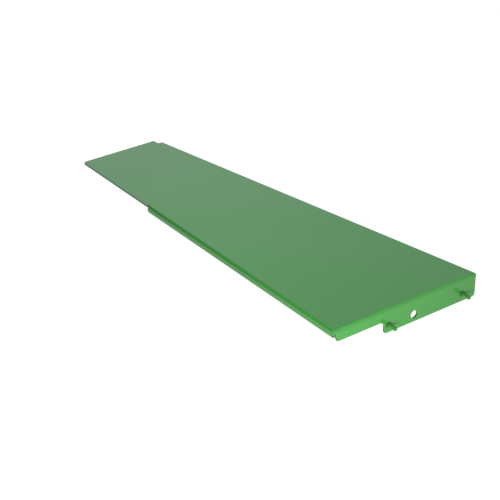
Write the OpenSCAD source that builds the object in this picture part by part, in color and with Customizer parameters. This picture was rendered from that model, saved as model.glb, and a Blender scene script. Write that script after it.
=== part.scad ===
// Tapered slide plate of folded sheet steel with two threaded weld studs.
// The long side at -Y is straight and the one at +Y tapers. The end flange
// with the studs faces +X. The plate lies with its deck up and level.

/* [Deck] */
// Length from the narrow edge to the outer face of the end flange
deck_l = 850; // [700:5:1100]
// Width at the flanged end
wide_w = 350; // [300:5:450]
// Width at the narrow end, before its corner notch
narrow_w = 195.5; // [150:0.5:280]
// Thickness of the sheet
sheet_t = 3; // [1.5:0.1:4]
// Corner radius between the narrow edge and the straight side
tip_r = 8; // [1:0.5:10]

/* [Side lips] */
// Height of both side lips, deck surface to lower edge
lip_h = 13; // [10:0.5:20]
// Inside radius of the side bends
lip_bend_r = 3; // [1:0.5:4]
// Length of the lip on the straight side
lip_l = 595; // [300:1:680]
// Radius of the lower corner where that lip starts
lip_corner_r = 2.5; // [0.5:0.5:5]
// Width of the relief slot beside the start of that lip
relief_w = 1; // [0.5:0.5:4]

/* [Narrow corner notch] */
// Length of the notch along the plate
notch_l = 17; // [8:1:40]
// Depth of the notch in from the tapered side, measured at the narrow edge
notch_w = 12; // [8:1:30]
// Radius of the notch's inner corner
notch_r = 5; // [1:0.5:7]

/* [End flange] */
// Height of the deep part of the end flange, deck surface to lower edge
end_h = 51; // [45:0.5:80]
// Height of the shallow part of the end flange
end_low_h = 24.5; // [20:0.5:35]
// Inside radius of the end bend
end_bend_r = 5; // [1:0.5:6]
// Where the deep part starts, from the straight side
step_y = 121.5; // [60:0.5:126]
// Radius of the fillet inside the step
step_fillet_r = 12; // [2:0.5:14]
// Radius of the deep part's two lower corners
deep_corner_r = 6; // [1:0.5:10]
// Radius of the shallow part's lower corner
low_corner_r = 4; // [1:0.5:6]
// Width of the slot between the flange and the straight side's lip
slot_w = 3; // [2:0.5:5]
// How far the flange's edge steps back below that slot
slot_step = 3; // [1:0.5:6]
// Height of that step, under the deck's surface
slot_h = 16; // [14:0.5:18]
// Gap between the end flange and the end of the tapered side's lip
corner_gap = 1.5; // [0.5:0.5:4]

/* [Hole and studs] */
// Diameter of the round hole
hole_d = 16; // [8:0.5:20]
// Place of the hole from the straight side
hole_y = 194; // [160:0.5:260]
// Height of the hole and of both studs above the flange's lower edge
row_h = 15.5; // [12:0.5:20]
// Place of the first stud from the straight side
stud_y = 132.5; // [130:0.5:150]
// Distance between the two studs
stud_pitch = 184; // [120:0.5:190]
// Thread diameter of the studs
stud_d = 8; // [5:0.5:12]
// How far the studs stand out of the flange
stud_out = 20; // [12:0.5:40]
// Chamfer on the tip of a stud
stud_tip = 1; // [0.3:0.1:2]
// How much thinner a stud's welded foot is than its thread
foot_step = 0.8; // [0.2:0.1:1.5]
// Width of the ring of weld metal round a stud's foot
weld_w = 2.1; // [1:0.1:4]
// Height of the weld ring
weld_h = 2; // [1:0.1:4]
// Gap between the weld ring and the start of the thread
thread_gap = 0.5; // [0.3:0.1:2]

/* [Hidden] */
$fn = 64;
// Overshoot of the cutting shapes
over = 1;
taper = atan2(wide_w - narrow_w, deck_l);
lip_out_r = lip_bend_r + sheet_t;
end_out_r = end_bend_r + sheet_t;
// Where the end flange starts, from the straight side
end_start = sheet_t + slot_w;
// Big enough to pass the whole plate
reach = 2 * deck_l;
// The bounding box of plate and studs is centred on X and Y and stands on Z = 0
face_x = (deck_l - stud_out) / 2;
side_y = -wide_w / 2;
row_z = row_h - end_h;
foot_d = stud_d - foot_step;
foot_l = weld_h + thread_gap;
green = [0.21, 0.5, 0.23];

// Places a shape that is drawn from the flange's face, the straight side
// and the deck's surface
module in_place() {
    translate([face_x, side_y, end_h])
        children();
}

// Everything below the deck and inside a side that runs along X at Y = 0,
// with the edge between the two rounded
module rounded_side(r) {
    rotate([90, 0, 90])
        translate([0, 0, -reach])
        linear_extrude(2 * reach)
        union() {
            translate([0, -reach])
                square([reach, reach - r]);
            translate([r, -reach])
                square([reach - r, reach]);
            translate([r, -r])
                circle(r);
        }
}

// The space inside the folds, with its three sides moved in by inset
module fold_space(inset, side_r, end_r) {
    intersection() {
        translate([0, inset, -inset])
            rounded_side(side_r);
        translate([0, wide_w, 0])
            rotate(taper)
            mirror([0, 1, 0])
            translate([0, inset, -inset])
            rounded_side(side_r);
        translate([-inset, 0, -inset])
            rotate(90)
            rounded_side(end_r);
        translate([-deck_l, -over, -end_h])
            cube([deck_l + over, wide_w + 2 * over, end_h + over]);
    }
}

// Flat outline of the end flange, Y to the right and Z up
module flange_outline() {
    low_start = end_start + slot_step;
    far_edge = wide_w - sheet_t / 4;
    difference() {
        translate([end_start, -end_h])
            square([far_edge - end_start, end_h]);
        translate([end_start - over, -end_h - over])
            square([step_y - end_start + over, end_h - end_low_h + over]);
        translate([end_start - over, -end_h - over])
            square([slot_step + over, end_h - slot_h + over]);
        translate([low_start, -end_low_h])
            corner_round(low_corner_r);
        translate([step_y, -end_h])
            corner_round(deep_corner_r);
        translate([far_edge, -end_h])
            rotate(90)
            corner_round(deep_corner_r);
    }
    translate([step_y, -end_low_h])
        rotate(180)
        corner_round(step_fillet_r);
}

// What a round corner of radius r leaves of a square corner at the origin
module corner_round(r) {
    difference() {
        square(r);
        translate([r, r])
            circle(r);
    }
}

// Outer skin of the folds less the inner one, before the flanges are trimmed
module folded_skin() {
    difference() {
        fold_space(0, lip_out_r, end_out_r);
        fold_space(sheet_t, lip_bend_r, end_bend_r);
    }
}

// Takes everything off the end flange that its outline leaves out
module end_trim() {
    translate([-sheet_t, 0, 0])
        rotate([90, 0, 90])
        linear_extrude(sheet_t + over)
        difference() {
            translate([sheet_t, -end_h - over])
                square([wide_w, end_h + over - end_out_r]);
            flange_outline();
        }
}

// Round-topped slot that parts the end flange from the straight side's lip
module corner_slot() {
    translate([-end_out_r, sheet_t + slot_w / 2, -end_out_r])
        rotate([0, 90, 0])
        cylinder(d = slot_w, h = end_out_r + over);
}

// Notch in the deck at the narrow end of the tapered side
module narrow_notch() {
    translate([-deck_l, narrow_w - notch_w, -end_h])
        linear_extrude(end_h + over)
        difference() {
            translate([-over, 0])
                square([notch_l + over, wide_w]);
            translate([notch_l, 0])
                rotate(90)
                corner_round(notch_r);
        }
}

module slide_plate() {
    lip_start = -lip_l;
    color(green)
        in_place()
        difference() {
            union() {
                folded_skin();
                // square edge of the deck where the straight side has no lip
                translate([-deck_l, 0, -sheet_t])
                    cube([deck_l - lip_l, lip_out_r + over, sheet_t]);
            }
            // side lips to their height
            translate([-deck_l - over, -over, -end_h - over])
                cube([deck_l + over - sheet_t, wide_w + 2 * over, end_h + over - lip_h]);
            // the straight side's lip ends here
            translate([-deck_l - over, -over, -end_h])
                cube([deck_l + over - lip_l, lip_out_r + over, end_h - sheet_t]);
            translate([lip_start, sheet_t + over, -lip_h])
                rotate([90, 0, 0])
                linear_extrude(sheet_t + 2 * over)
                corner_round(lip_corner_r);
            // relief slot beside it
            translate([lip_start - relief_w, -over, -end_h])
                cube([relief_w, lip_out_r + over, end_h + over]);
            translate([lip_start - relief_w / 2, lip_out_r, -end_h])
                cylinder(d = relief_w, h = end_h + over);
            // straight side's lip, under its height beside the end flange
            translate([-sheet_t - over, -over, -end_h - over])
                cube([sheet_t + 2 * over, sheet_t + over, end_h + over - lip_h]);
            end_trim();
            corner_slot();
            // tapered side's lip stops short of the end flange
            translate([-sheet_t - corner_gap, wide_w - end_out_r - sheet_t, -end_h])
                cube([corner_gap, end_out_r + sheet_t + over, end_h - end_out_r]);
            narrow_notch();
            // rounded tip of the straight side
            translate([-deck_l, 0, -end_h])
                linear_extrude(end_h + over)
                corner_round(tip_r);
            // round hole
            translate([-sheet_t - over, hole_y, row_z])
                rotate([0, 90, 0])
                cylinder(d = hole_d, h = sheet_t + 2 * over);
        }
}

// Threaded stud on the face of the end flange, y from the straight side
module stud(y) {
    color(green)
        in_place()
        translate([0, y, row_z])
        rotate([0, 90, 0]) {
            cylinder(d = foot_d, h = foot_l);
            translate([0, 0, foot_l])
                cylinder(d = stud_d, h = stud_out - stud_tip - foot_l);
            translate([0, 0, stud_out - stud_tip])
                cylinder(d1 = stud_d, d2 = stud_d - 2 * stud_tip, h = stud_tip);
        }
}

// Ring of weld metal where a stud meets the flange
module weld_ring(y) {
    toe = 0.5;
    foot_r = foot_d / 2;
    color(green)
        in_place()
        translate([0, y, row_z])
        rotate([0, 90, 0])
        rotate_extrude()
        polygon([
            [foot_r, 0],
            [foot_r + weld_w, 0],
            [foot_r + weld_w, toe],
            [foot_r + toe, weld_h],
            [foot_r, weld_h],
        ]);
}

module stud_straight_side() {
    stud(stud_y);
}

module stud_tapered_side() {
    stud(stud_y + stud_pitch);
}

module weld_straight_side() {
    weld_ring(stud_y);
}

module weld_tapered_side() {
    weld_ring(stud_y + stud_pitch);
}

slide_plate();
stud_straight_side();
stud_tapered_side();
weld_straight_side();
weld_tapered_side();
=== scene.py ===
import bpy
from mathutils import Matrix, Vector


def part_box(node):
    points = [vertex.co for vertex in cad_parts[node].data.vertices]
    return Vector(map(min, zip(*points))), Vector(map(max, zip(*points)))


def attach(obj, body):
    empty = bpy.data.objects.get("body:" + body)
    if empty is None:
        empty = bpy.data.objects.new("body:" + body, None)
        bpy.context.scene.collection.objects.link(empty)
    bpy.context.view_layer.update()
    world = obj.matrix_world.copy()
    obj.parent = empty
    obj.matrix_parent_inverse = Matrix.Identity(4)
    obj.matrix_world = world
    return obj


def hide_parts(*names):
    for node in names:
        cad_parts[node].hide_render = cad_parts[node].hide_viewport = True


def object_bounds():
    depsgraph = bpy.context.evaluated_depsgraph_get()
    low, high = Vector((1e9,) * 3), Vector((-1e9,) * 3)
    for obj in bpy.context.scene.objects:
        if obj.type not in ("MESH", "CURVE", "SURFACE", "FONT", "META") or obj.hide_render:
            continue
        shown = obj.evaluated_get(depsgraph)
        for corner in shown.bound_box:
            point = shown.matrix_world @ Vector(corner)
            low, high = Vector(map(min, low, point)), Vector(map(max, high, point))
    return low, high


bl_info = {
    "name": "Slide Plate Finish",
    "version": (1, 0, 0),
    "blender": (4, 5, 0),
    "location": "3D View > Sidebar > Slide Plate",
    "description": "Enamelled sheet, threaded studs and weld rings for a tapered slide plate",
    "category": "Object",
}

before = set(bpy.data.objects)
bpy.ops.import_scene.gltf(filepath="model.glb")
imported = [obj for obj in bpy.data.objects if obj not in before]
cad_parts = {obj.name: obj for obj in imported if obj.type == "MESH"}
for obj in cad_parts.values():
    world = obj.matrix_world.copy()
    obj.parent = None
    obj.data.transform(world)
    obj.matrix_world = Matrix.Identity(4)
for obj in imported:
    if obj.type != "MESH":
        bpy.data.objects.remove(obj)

import math

import bmesh
import bpy
from bpy.props import FloatProperty, FloatVectorProperty, IntProperty, PointerProperty
from mathutils import Matrix, Vector

MM = 0.001
CAD_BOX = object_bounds()
BODY = "root"
PLATE = "slide_plate"
STUDS = ("stud_straight_side", "stud_tapered_side")
WELDS = ("weld_straight_side", "weld_tapered_side")
# Attribute marking where the enamel is coloured darker: the sheet's cut faces and edges, and
# painted shade in the studs' grooves and feet and at the welds' toes
DARKENED_ATTRIBUTE = "cut_edge"

# How much thinner a stud's welded foot is than its thread, on the radius
FOOT_STEP = 0.4 * MM
# Bare foot between the weld ring and the first turn of the thread
THREAD_GAP = 0.5 * MM
STUD_CHAMFER = 1.0 * MM
# Corners round a stud and rows of them along it
STUD_SIDES = 72
STUD_ROWS = 240
# Steps round a weld ring and round its cross-section
WELD_STEPS = 144
BEAD_STEPS = 24

# The sheet's faces narrower than this are cut faces
CUT_FACE_WIDTH = 3.2 * MM
CUT_ANGLE = math.radians(40)
FLAT_ANGLE = math.radians(0.5)
SAME_PLACE = 0.001 * MM

FLOOR_HALF = 8.0
FLOOR_DROP = 0.2 * MM
FLOOR_GLOW = 0.97
FLOOR_MATTE = 0.1

# Width and height of the key light and of the other two
KEY_SIZE = (0.65, 0.18)
TOP_SIZE = (0.6, 0.6)
# Where the key light stands from the flange's near corner
KEY_REACH = Vector((0.68, -0.42, 0.09))
TOP_PLACE = Vector((0.15, -0.46, 1.04))
BACK_PLACE = Vector((-0.1, 0.95, 1.0))


# ---------------------------------------------------------------- settings


class PlateSettings(bpy.types.PropertyGroup):
    """Sizes of the folded sheet's finish"""

    edge_round: FloatProperty(
        name="Edge rounding",
        description="Hairline rounding that keeps the shading crisp along the cut edges",
        default=0.01 * MM,
        min=0.005 * MM,
        max=0.02 * MM,
        unit="LENGTH",
    )
    edge_steps: IntProperty(
        name="Edge steps",
        description="Faces across each rounded edge",
        default=3,
        min=1,
        max=6,
    )


class StudSettings(bpy.types.PropertyGroup):
    """Sizes of the rolled thread and the weld rings"""

    pitch: FloatProperty(
        name="Pitch",
        description="Distance between two turns of the thread",
        default=1.25 * MM,
        min=0.5 * MM,
        max=2 * MM,
        unit="LENGTH",
    )
    groove: FloatProperty(
        name="Groove depth",
        description="Depth of the thread that the enamel leaves open",
        default=0.5 * MM,
        min=0.1 * MM,
        max=0.8 * MM,
        unit="LENGTH",
    )
    ripples: IntProperty(
        name="Weld ripples",
        description="Number of waves round the crown of a weld ring",
        default=11,
        min=3,
        max=40,
    )
    ripple_depth: FloatProperty(
        name="Ripple depth",
        description="Depth of the waves, as a share of the ring's size",
        default=0.1,
        min=0.0,
        max=0.3,
        subtype="FACTOR",
    )


class PaintSettings(bpy.types.PropertyGroup):
    """Colour and surface of the enamel"""

    color: FloatVectorProperty(
        name="Enamel",
        description="Colour of the enamel on flat faces",
        default=(0.035, 0.2, 0.032),
        min=0.0,
        max=1.0,
        size=3,
        subtype="COLOR",
    )
    # Darker colour on the sheet's cut faces and cut edges
    dark_edge_color: FloatVectorProperty(
        name="Dark edges",
        description="Darker colour on the sheet's cut faces and cut edges",
        default=(0.01, 0.03, 0.011),
        min=0.0,
        max=1.0,
        size=3,
        subtype="COLOR",
    )
    # Painted shade: a dark colour in the thread grooves, on the studs' feet, at the weld toes
    # and in a ring round each weld on the flange
    crevice_shade_color: FloatVectorProperty(
        name="Crevice shade",
        description="Painted shade in the thread grooves, at the weld toes and round the weld rings",
        default=(0.004, 0.022, 0.004),
        min=0.0,
        max=1.0,
        size=3,
        subtype="COLOR",
    )
    roughness: FloatProperty(
        name="Roughness",
        description="Mean roughness of the semi-gloss surface",
        default=0.15,
        min=0.05,
        max=0.9,
        subtype="FACTOR",
    )


class StageSettings(bpy.types.PropertyGroup):
    """Camera and light"""

    camera_place: FloatVectorProperty(
        name="Camera place",
        description="Where the camera stands",
        default=(2.0691, -1.5893, 1.4363),
        size=3,
        subtype="TRANSLATION",
        unit="LENGTH",
    )
    heading: FloatProperty(
        name="Heading",
        description="Direction that the camera looks in, from +X towards +Y",
        default=math.radians(143.318),
        subtype="ANGLE",
    )
    pitch: FloatProperty(
        name="Downward pitch",
        description="How far the camera looks down",
        default=math.radians(29.331),
        subtype="ANGLE",
    )
    lens: FloatProperty(
        name="Focal length",
        description="Focal length of the lens, in millimetres",
        default=105.27,
        min=20,
        max=300,
    )
    backdrop: FloatProperty(
        name="Backdrop",
        description="Brightness of the white wall that the deck reflects",
        default=1.33,
        min=0.0,
        max=4.0,
    )
    room: FloatProperty(
        name="Room",
        description="Brightness of the dim room round the stage",
        default=0.12,
        min=0.0,
        max=4.0,
    )
    side: FloatProperty(
        name="Side",
        description="Brightness of the room beyond the straight long edge",
        default=0.85,
        min=0.0,
        max=4.0,
    )
    key: FloatProperty(
        name="Key light",
        description="Power of the low soft light before the flanged end",
        default=13.2,
        min=0.0,
        max=500.0,
        unit="POWER",
    )
    top: FloatProperty(
        name="Top light",
        description="Power of the soft light over the deck",
        default=6.6,
        min=0.0,
        max=500.0,
        unit="POWER",
    )
    back: FloatProperty(
        name="Back light",
        description="Power of the soft light beyond the straight long edge",
        default=3.6,
        min=0.0,
        max=500.0,
        unit="POWER",
    )


# ---------------------------------------------------------------- node maths


class Wire:
    """A value in a node tree that Python's operators work on."""

    def __init__(self, maker, socket):
        self.maker = maker
        self.socket = socket

    def maths(self, operation, *values):
        node = self.maker.add("ShaderNodeMath", {"operation": operation}, *values)
        return node[0]

    def __add__(self, other):
        return self.maths("ADD", self, other)

    def __radd__(self, other):
        return self.maths("ADD", other, self)

    def __sub__(self, other):
        return self.maths("SUBTRACT", self, other)

    def __rsub__(self, other):
        return self.maths("SUBTRACT", other, self)

    def __mul__(self, other):
        return self.maths("MULTIPLY", self, other)

    def __rmul__(self, other):
        return self.maths("MULTIPLY", other, self)

    def __truediv__(self, other):
        return self.maths("DIVIDE", self, other)

    def __rtruediv__(self, other):
        return self.maths("DIVIDE", other, self)

    def __abs__(self):
        return self.maths("ABSOLUTE", self)

    def fraction(self):
        return self.maths("FRACT", self)

    def root(self):
        return self.maths("SQRT", self)

    def sine(self):
        return self.maths("SINE", self)

    def cosine(self):
        return self.maths("COSINE", self)

    def at_most(self, other):
        return self.maths("MINIMUM", self, other)

    def at_least(self, other):
        return self.maths("MAXIMUM", self, other)

    def rise(self, start, end):
        """0 before start, 1 after end and a straight rise between them."""
        span = ((self - start) / (end - start)).at_least(0.0)
        return span.at_most(1.0)


class Made:
    """A node just made: its outputs by name or place."""

    def __init__(self, maker, node):
        self.maker = maker
        self.node = node

    def __getitem__(self, key):
        return Wire(self.maker, find_socket(self.node.outputs, key))


def find_socket(sockets, key):
    """A socket by its place, its identifier or its name with _ for a space."""
    if isinstance(key, int):
        return sockets[key]
    for socket in sockets:
        if socket.identifier == key:
            return socket
    return sockets[key.replace("_", " ")]


class NodeMaker:
    """Adds nodes to one tree."""

    def __init__(self, tree):
        self.tree = tree

    def add(self, kind, settings=None, *values, **named):
        """Adds a node: its settings first, then its sockets in order or by name."""
        node = self.tree.nodes.new(kind)
        for name, value in (settings or {}).items():
            setattr(node, name, value)
        for key, value in [*enumerate(values), *named.items()]:
            self.feed(find_socket(node.inputs, key), value)
        return Made(self, node)

    def feed(self, socket, value):
        """Links or sets one input."""
        if isinstance(value, Made):
            value = value[0]
        if isinstance(value, Wire):
            self.tree.links.new(value.socket, socket)
        else:
            socket.default_value = value

    def mix_color(self, factor, first, second):
        """Between two colours, by factor."""
        mixed = self.add(
            "ShaderNodeMix",
            {"data_type": "RGBA"},
            Factor_Float=factor,
            A_Color=first,
            B_Color=second,
        )
        return mixed["Result_Color"]


def emptied(owner):
    """A maker for the node tree of a material or a world, cleared first."""
    owner.use_nodes = True
    owner.node_tree.nodes.clear()
    return NodeMaker(owner.node_tree)


# ---------------------------------------------------------------- materials


def lip_start():
    """Where along X the straight side's lip begins."""
    low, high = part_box(PLATE)
    lip_y = low.y + 0.5 * MM
    lip_z = high.z - 4 * MM
    corners = (corner.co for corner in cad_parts[PLATE].data.vertices)
    return min(corner.x for corner in corners if corner.y < lip_y and corner.z < lip_z)


def sheet_dark_edge_and_weld_shade(maker, place, color, paint):
    """A darker colour along the straight side's bare edge, and painted shade in a ring round
    each weld on the flange.
    """
    spot = maker.add("ShaderNodeSeparateXYZ", {}, place)
    lip = lip_start()
    bare = 1.0 - spot["X"].rise(lip - 2 * MM, lip - 1 * MM)
    inward = spot["Y"] - CAD_BOX[0].y
    edge_darkening = bare * (1.0 - inward.rise(0.5 * MM, 2.5 * MM))
    color = maker.mix_color(edge_darkening * 0.8, color, (*paint.dark_edge_color, 1))
    for node in WELDS:
        low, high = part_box(node)
        axis = (low + high) / 2
        toe = (high.z - low.z) / 2
        y = spot["Y"] - axis.y
        z = spot["Z"] - axis.z
        # Painted shade: a dark ring on the flange round the foot of each weld
        weld_ring_shade = 1.0 - (y * y + z * z).root().rise(toe, toe + 1.6 * MM)
        on_face = spot["X"].rise(axis.x - 2 * MM, axis.x - 1.5 * MM)
        color = maker.mix_color(weld_ring_shade * on_face, color, (*paint.crevice_shade_color, 1))
    return color


def enamel(name, paint, peel_height=1.0, sheet=False):
    """Semi-gloss green enamel: orange peel, soft clouding, a darker colour on the sheet's cut
    edges and painted shade in the grooves and toes of the studs and welds.
    """
    material = bpy.data.materials.new(name)
    material.diffuse_color = (*paint.color, 1)
    maker = emptied(material)
    place = maker.add("ShaderNodeTexCoord")["Object"]

    def noise(scale, detail=2.0):
        return maker.add("ShaderNodeTexNoise", {}, Vector=place, Scale=scale, Detail=detail)[0]

    clouds = noise(scale=4.0)
    blotches = noise(scale=38.0, detail=3.0)
    specks = noise(scale=420.0)
    peel = noise(scale=520.0, detail=1.0)
    darkened = maker.add("ShaderNodeAttribute", {"attribute_name": DARKENED_ATTRIBUTE})["Fac"]

    full = (*paint.color, 1)
    light = (*(c * 1.06 for c in paint.color), 1)
    dark = (*(c * 0.92 for c in paint.color), 1)
    # The sheet's marked faces get the darker edge colour; on the studs and welds the marked
    # points get painted shade
    darkening = paint.dark_edge_color if sheet else paint.crevice_shade_color
    darkened_share = (darkened * (0.75 + 0.25 * specks)).at_most(1.0)
    color = maker.mix_color(clouds.rise(0.3, 0.7) * 0.6, full, light)
    color = maker.mix_color(blotches.rise(0.45, 0.8) * 0.35, color, dark)
    color = maker.mix_color(darkened_share, color, (*darkening, 1))
    height = peel * peel_height
    if sheet:
        color = sheet_dark_edge_and_weld_shade(maker, place, color, paint)
        waves = noise(scale=5.5, detail=1.0)
        height = height + 28.0 * waves

    rough = paint.roughness + 0.1 * (blotches - 0.5) + 0.06 * (specks - 0.5)
    bump = maker.add("ShaderNodeBump", {}, Strength=1.0, Distance=0.012 * MM, Height=height)
    shader = maker.add(
        "ShaderNodeBsdfPrincipled",
        {},
        Base_Color=color,
        Roughness=rough,
        IOR=1.45,
        Normal=bump["Normal"],
    )
    maker.add("ShaderNodeOutputMaterial", {}, Surface=shader["BSDF"])
    return material


# ---------------------------------------------------------------- making pieces


def finish_piece(obj, node):
    """Gives a piece its body and hides the CAD node that it stands for."""
    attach(obj, BODY)
    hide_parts(node)


def new_object(name, mesh):
    """A new object in the scene, at the origin."""
    obj = bpy.data.objects.new(name, mesh)
    bpy.context.scene.collection.objects.link(obj)
    return obj


def baked_mesh(obj, name):
    """The object's mesh with its modifiers in it."""
    depsgraph = bpy.context.evaluated_depsgraph_get()
    mesh = bpy.data.meshes.new_from_object(obj.evaluated_get(depsgraph))
    mesh.name = name
    return mesh


def marked_plate(settings):
    """The CAD sheet, merged, its cut faces marked and its cut edges with a hairline round."""
    bm = bmesh.new()
    bm.from_mesh(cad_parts[PLATE].data)
    bmesh.ops.remove_doubles(bm, verts=bm.verts, dist=SAME_PLACE)
    bmesh.ops.dissolve_limit(bm, angle_limit=FLAT_ANGLE, verts=bm.verts, edges=bm.edges)
    darkened = bm.faces.layers.float.new(DARKENED_ATTRIBUTE)
    cut_edges = [edge for edge in bm.edges if edge.calc_face_angle(0.0) > CUT_ANGLE]
    cut = set(cut_edges)
    for face in bm.faces:
        around = face.calc_perimeter()
        cut_part = sum(edge.calc_length() for edge in face.edges if edge in cut)
        width = 2 * face.calc_area() / around
        if width < CUT_FACE_WIDTH and cut_part > 0.15 * around:
            face[darkened] = 1.0
    made = bmesh.ops.bevel(
        bm,
        geom=cut_edges,
        offset=settings.edge_round,
        offset_type="OFFSET",
        segments=settings.edge_steps,
        profile=0.5,
        affect="EDGES",
        clamp_overlap=True,
    )
    for face in made["faces"]:
        face[darkened] = 1.0
    for face in bm.faces:
        face.smooth = True
    mesh = bpy.data.meshes.new(PLATE)
    bm.to_mesh(mesh)
    bm.free()
    return mesh


class SLIDE_OT_make_plate(bpy.types.Operator):
    """Make the folded, enamelled sheet"""

    bl_idname = "slide.make_plate"
    bl_label = "Make plate"

    def execute(self, context):
        scene = context.scene
        plate = new_object("slide_plate_enamelled", marked_plate(scene.slide_plate))
        normals = plate.modifiers.new("even_normals", "WEIGHTED_NORMAL")
        normals.mode = "FACE_AREA"
        normals.weight = 100
        mesh = baked_mesh(plate, "slide_plate_enamelled")
        plate.modifiers.clear()
        plate.data = mesh
        mesh.materials.clear()
        mesh.materials.append(enamel("sheet_enamel", scene.slide_paint, sheet=True))
        finish_piece(plate, PLATE)
        return {"FINISHED"}


def shape_tree(name, sizes):
    """A geometry tree with a number for each size, a material and one geometry out."""
    tree = bpy.data.node_groups.new(name, "GeometryNodeTree")
    sockets = tree.interface
    sockets.new_socket("Geometry", in_out="OUTPUT", socket_type="NodeSocketGeometry")
    for size in sizes:
        sockets.new_socket(size, in_out="INPUT", socket_type="NodeSocketFloat")
    sockets.new_socket("Material", in_out="INPUT", socket_type="NodeSocketMaterial")
    maker = NodeMaker(tree)
    return maker, maker.add("NodeGroupInput")


def moved_points(maker, mesh, place, darkening):
    """The mesh with its points in their places, each with how much painted shade its enamel
    gets.
    """
    stored = maker.add(
        "GeometryNodeStoreNamedAttribute",
        {"data_type": "FLOAT", "domain": "POINT"},
        Geometry=mesh,
        Name=DARKENED_ATTRIBUTE,
        Value=darkening,
    )
    return maker.add("GeometryNodeSetPosition", {}, Geometry=stored[0], Position=place)[0]


def finish_tree(maker, inputs, shape):
    """Smooth shading, a plain mesh and the enamel, to the tree's output."""
    smooth = maker.add("GeometryNodeSetShadeSmooth", {}, Geometry=shape)
    real = maker.add("GeometryNodeRealizeInstances", {}, Geometry=smooth[0])
    painted = maker.add(
        "GeometryNodeSetMaterial", {}, Geometry=real[0], Material=inputs["Material"]
    )
    maker.add("NodeGroupOutput", {}, Geometry=painted[0])
    return maker.tree


def thread_tree():
    """A stud along Z: welded foot, rolled thread and chamfered tip on one closed skin."""
    sizes = (
        "Thread Radius",
        "Foot Radius",
        "Foot Length",
        "Length",
        "Chamfer",
        "Pitch",
        "Groove",
    )
    maker, inputs = shape_tree("rolled_thread", sizes)
    thread_r = inputs["Thread Radius"]
    foot_r = inputs["Foot Radius"]
    foot_l = inputs["Foot Length"]
    length = inputs["Length"]
    chamfer = inputs["Chamfer"]
    pitch = inputs["Pitch"]

    blank = maker.add(
        "GeometryNodeMeshCylinder",
        {"fill_type": "TRIANGLE_FAN"},
        Vertices=STUD_SIDES,
        Side_Segments=STUD_ROWS,
        Radius=1.0,
        Depth=length,
    )
    spot = maker.add("ShaderNodeSeparateXYZ", {}, maker.add("GeometryNodeInputPosition")[0])
    x, y = spot["X"], spot["Y"]
    z = spot["Z"] + length * 0.5
    turn = x.maths("ARCTAN2", y, x) / math.tau
    phase = (z / pitch - turn).fraction()
    ridge = abs(phase * 2.0 - 1.0)
    runout = z.rise(foot_l, foot_l + pitch)
    depth = (1.0 - ridge.rise(0.08, 0.9)) * runout
    grooved = thread_r - inputs["Groove"] * depth
    start = z.rise(foot_l - 0.15 * MM, foot_l + 0.15 * MM)
    body = foot_r + (grooved - foot_r) * start
    tip = thread_r - (z - (length - chamfer)).at_least(0.0)
    radius = body.at_most(tip)
    place = maker.add("ShaderNodeCombineXYZ", {}, x * radius, y * radius, z)
    # Painted shade in the thread grooves and on the foot next to the weld ring
    foot_shade = 1.0 - z.rise(foot_l - 0.5 * MM, foot_l)
    darkening = (depth * 0.45).at_least(foot_shade)
    return finish_tree(maker, inputs, moved_points(maker, blank["Mesh"], place, darkening))


def weld_tree():
    """A ring of weld metal round Z, flat below, with a rippled crown."""
    sizes = ("Inner Radius", "Outer Radius", "Height", "Ripples", "Ripple Depth", "Seed")
    maker, inputs = shape_tree("weld_ring", sizes)
    inner = inputs["Inner Radius"]
    outer = inputs["Outer Radius"]
    strip = maker.add(
        "GeometryNodeMeshGrid",
        {},
        Size_X=1.0,
        Size_Y=1.0,
        Vertices_X=WELD_STEPS + 1,
        Vertices_Y=BEAD_STEPS + 1,
    )
    spot = maker.add("ShaderNodeSeparateXYZ", {}, maker.add("GeometryNodeInputPosition")[0])
    turn = (spot["X"] + 0.5) * math.tau
    around = (spot["Y"] + 0.5) * math.tau
    circle = maker.add("ShaderNodeCombineXYZ", {}, turn.cosine(), turn.sine(), inputs["Seed"])
    lumps = maker.add("ShaderNodeTexNoise", {}, Vector=circle, Scale=1.6, Detail=2.0)[0]
    wave = abs((turn * inputs["Ripples"] * 0.5).sine())
    loss = inputs["Ripple Depth"] * (1.0 - wave) + 0.35 * (lumps - 0.35).at_least(0.0)
    full = 1.0 - loss.at_most(0.4)
    width = (outer - inner) * full
    crown = around.sine().at_least(0.0)
    radius = inner + width * (around.cosine() * 0.5 + 0.5)
    height = inputs["Height"] * full * crown
    x = turn.cosine() * radius
    y = turn.sine() * radius
    place = maker.add("ShaderNodeCombineXYZ", {}, x, y, height)
    # Painted shade where the weld ring's toe meets the flange
    toe = (1.0 - crown.rise(0.25, 0.8)) * around.cosine().rise(-0.3, 0.3)
    shaped = moved_points(maker, strip["Mesh"], place, toe)
    closed = maker.add(
        "GeometryNodeMergeByDistance", {}, Geometry=shaped, Distance=SAME_PLACE
    )
    return finish_tree(maker, inputs, closed)


def grown(name, tree, values, place):
    """Runs a tree with its inputs set and leaves a plain mesh at the origin."""
    obj = new_object(name, bpy.data.meshes.new(name))
    modifier = obj.modifiers.new(name, "NODES")
    modifier.node_group = tree
    for item in tree.interface.items_tree:
        if item.in_out == "INPUT":
            modifier[item.identifier] = values[item.name]
    mesh = baked_mesh(obj, name)
    obj.modifiers.clear()
    mesh.transform(place)
    obj.data = mesh
    return obj


def outward(obj):
    """Turns every face of a closed piece outwards."""
    bm = bmesh.new()
    bm.from_mesh(obj.data)
    bmesh.ops.recalc_face_normals(bm, faces=bm.faces)
    bm.to_mesh(obj.data)
    bm.free()


def stud_base(node):
    """The matrix that stands a Z-long piece on the flange, at a CAD node's axis."""
    low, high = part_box(node)
    middle = (low + high) / 2
    return Matrix.Translation((low.x, middle.y, middle.z)) @ Matrix.Rotation(
        math.radians(90), 4, "Y"
    )


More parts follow.
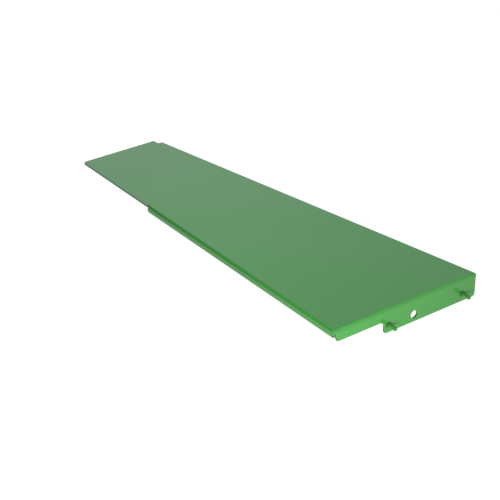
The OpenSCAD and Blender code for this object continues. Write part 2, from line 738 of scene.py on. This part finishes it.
class SLIDE_OT_make_studs(bpy.types.Operator):
    """Make the two threaded studs"""

    bl_idname = "slide.make_studs"
    bl_label = "Make studs"

    def execute(self, context):
        settings = context.scene.slide_stud
        paint = enamel("stud_enamel", context.scene.slide_paint, peel_height=0.5)
        tree = thread_tree()
        for node, weld in zip(STUDS, WELDS):
            low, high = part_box(node)
            ring_low, ring_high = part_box(weld)
            radius = (high.z - low.z) / 2
            values = {
                "Thread Radius": radius,
                "Foot Radius": radius - FOOT_STEP,
                "Foot Length": ring_high.x - ring_low.x + THREAD_GAP,
                "Length": high.x - low.x,
                "Chamfer": STUD_CHAMFER,
                "Pitch": settings.pitch,
                "Groove": settings.groove,
                "Material": paint,
            }
            stud = grown(node + "_threaded", tree, values, stud_base(node))
            outward(stud)
            finish_piece(stud, node)
        return {"FINISHED"}


class SLIDE_OT_make_welds(bpy.types.Operator):
    """Make the rings of weld metal at the studs' feet"""

    bl_idname = "slide.make_welds"
    bl_label = "Make welds"

    def execute(self, context):
        settings = context.scene.slide_stud
        paint = enamel("weld_enamel", context.scene.slide_paint, peel_height=1.5)
        tree = weld_tree()
        for index, (node, stud) in enumerate(zip(WELDS, STUDS)):
            low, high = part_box(node)
            stud_low, stud_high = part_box(stud)
            values = {
                "Inner Radius": (stud_high.z - stud_low.z) / 2 - FOOT_STEP,
                "Outer Radius": (high.z - low.z) / 2,
                "Height": high.x - low.x,
                "Ripples": float(settings.ripples),
                "Ripple Depth": settings.ripple_depth,
                "Seed": 3.0 * index,
                "Material": paint,
            }
            ring = grown(node + "_bead", tree, values, stud_base(node))
            outward(ring)
            finish_piece(ring, node)
        return {"FINISHED"}


# ---------------------------------------------------------------- stage


def add_camera(stage):
    """The camera, level, at the place and direction in the settings."""
    data = bpy.data.cameras.new("camera")
    data.sensor_width = 36
    data.lens = stage.lens
    data.clip_end = 100
    camera = bpy.data.objects.new("camera", data)
    bpy.context.scene.collection.objects.link(camera)
    forward = Vector(
        (
            math.cos(stage.heading) * math.cos(stage.pitch),
            math.sin(stage.heading) * math.cos(stage.pitch),
            -math.sin(stage.pitch),
        )
    )
    camera.location = stage.camera_place
    camera.rotation_mode = "QUATERNION"
    camera.rotation_quaternion = forward.to_track_quat("-Z", "Y")
    bpy.context.scene.camera = camera


def add_floor():
    """A plain white floor that glows a little, and shows nothing from below."""
    bm = bmesh.new()
    bmesh.ops.create_grid(bm, x_segments=4, y_segments=4, size=FLOOR_HALF)
    mesh = bpy.data.meshes.new("floor")
    bm.to_mesh(mesh)
    bm.free()
    floor = new_object("floor", mesh)
    floor.location.z = CAD_BOX[0].z - FLOOR_DROP
    material = bpy.data.materials.new("white_floor")
    maker = emptied(material)
    glow = maker.add("ShaderNodeEmission", {}, Color=(1, 1, 1, 1), Strength=FLOOR_GLOW)
    grey = (FLOOR_MATTE, FLOOR_MATTE, FLOOR_MATTE, 1)
    matte = maker.add("ShaderNodeBsdfDiffuse", {}, Color=grey)
    both = maker.add("ShaderNodeAddShader", {}, glow[0], matte[0])
    clear = maker.add("ShaderNodeBsdfTransparent", {})
    behind = maker.add("ShaderNodeNewGeometry")["Backfacing"]
    sided = maker.add("ShaderNodeMixShader", {}, behind, both[0], clear[0])
    maker.add("ShaderNodeOutputMaterial", {}, Surface=sided[0])
    floor.data.materials.append(material)


def add_world(stage):
    """A dim room, lighter beyond the straight long edge, with a white wall behind the plate."""
    world = bpy.data.worlds.new("studio")
    bpy.context.scene.world = world
    maker = emptied(world)
    direction = maker.add("ShaderNodeTexCoord")["Generated"]
    spot = maker.add("ShaderNodeSeparateXYZ", {}, direction)
    x, y, z = spot["X"], spot["Y"], spot["Z"]
    level = (x * x + y * y).root()
    middle = stage.heading + math.radians(13)
    facing = (x * math.cos(middle) + y * math.sin(middle)) / level
    # full within 10 degrees of the wall's middle, gone at 46, and fading with height
    wall = facing.rise(0.7, 0.985) * (1.0 - z.rise(0.44, 0.8))
    dim = stage.room + (stage.side - stage.room) * y.rise(0.0, 0.45)
    strength = dim.at_least(stage.backdrop * wall)
    background = maker.add(
        "ShaderNodeBackground", {}, Color=(0.97, 1.0, 1.08, 1), Strength=strength
    )
    maker.add("ShaderNodeOutputWorld", {}, Surface=background[0])


def add_light(name, place, target, size, power):
    """A soft rectangular light that neither the camera nor a reflection sees."""
    data = bpy.data.lights.new(name, "AREA")
    data.shape = "RECTANGLE"
    data.size, data.size_y = size
    data.energy = power
    light = bpy.data.objects.new(name, data)
    bpy.context.scene.collection.objects.link(light)
    light.location = place
    light.rotation_mode = "QUATERNION"
    light.rotation_quaternion = (target - place).to_track_quat("-Z", "Y")
    light.visible_camera = False
    light.visible_glossy = False


class SLIDE_OT_set_stage(bpy.types.Operator):
    """Set up the camera, the floor and the lights"""

    bl_idname = "slide.set_stage"
    bl_label = "Set stage"

    def execute(self, context):
        stage = context.scene.slide_stage
        low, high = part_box(PLATE)
        near_corner = Vector((high.x, low.y, high.z / 2))
        middle = Vector((0, 0, high.z))
        add_camera(stage)
        add_floor()
        add_world(stage)
        add_light("key_light", near_corner + KEY_REACH, near_corner, KEY_SIZE, stage.key)
        add_light("top_light", TOP_PLACE, middle, TOP_SIZE, stage.top)
        add_light("back_light", BACK_PLACE, middle, TOP_SIZE, stage.back)
        context.scene.view_settings.view_transform = "Standard"
        return {"FINISHED"}


# ---------------------------------------------------------------- panel


class SLIDE_PT_panel(bpy.types.Panel):
    """Lists what the slide plate is made of"""

    bl_label = "Slide Plate"
    bl_idname = "SLIDE_PT_panel"
    bl_space_type = "VIEW_3D"
    bl_region_type = "UI"
    bl_category = "Slide Plate"

    def draw(self, context):
        layout = self.layout
        for group in ("slide_plate", "slide_stud", "slide_paint", "slide_stage"):
            settings = getattr(context.scene, group)
            box = layout.box()
            for name in settings.__annotations__:
                box.prop(settings, name)
        for operator in OPERATORS:
            layout.operator(operator.bl_idname)


OPERATORS = (
    SLIDE_OT_make_plate,
    SLIDE_OT_make_studs,
    SLIDE_OT_make_welds,
    SLIDE_OT_set_stage,
)
SETTINGS = {
    "slide_plate": PlateSettings,
    "slide_stud": StudSettings,
    "slide_paint": PaintSettings,
    "slide_stage": StageSettings,
}


def register():
    for settings in SETTINGS.values():
        bpy.utils.register_class(settings)
    for operator in OPERATORS:
        bpy.utils.register_class(operator)
    bpy.utils.register_class(SLIDE_PT_panel)
    for name, settings in SETTINGS.items():
        setattr(bpy.types.Scene, name, PointerProperty(type=settings))


def unregister():
    for name in SETTINGS:
        delattr(bpy.types.Scene, name)
    bpy.utils.unregister_class(SLIDE_PT_panel)
    for operator in reversed(OPERATORS):
        bpy.utils.unregister_class(operator)
    for settings in SETTINGS.values():
        bpy.utils.unregister_class(settings)


def main():
    register()
    bpy.ops.slide.make_plate()
    bpy.ops.slide.make_studs()
    bpy.ops.slide.make_welds()
    bpy.ops.slide.set_stage()


if __name__ == "__main__":
    main()
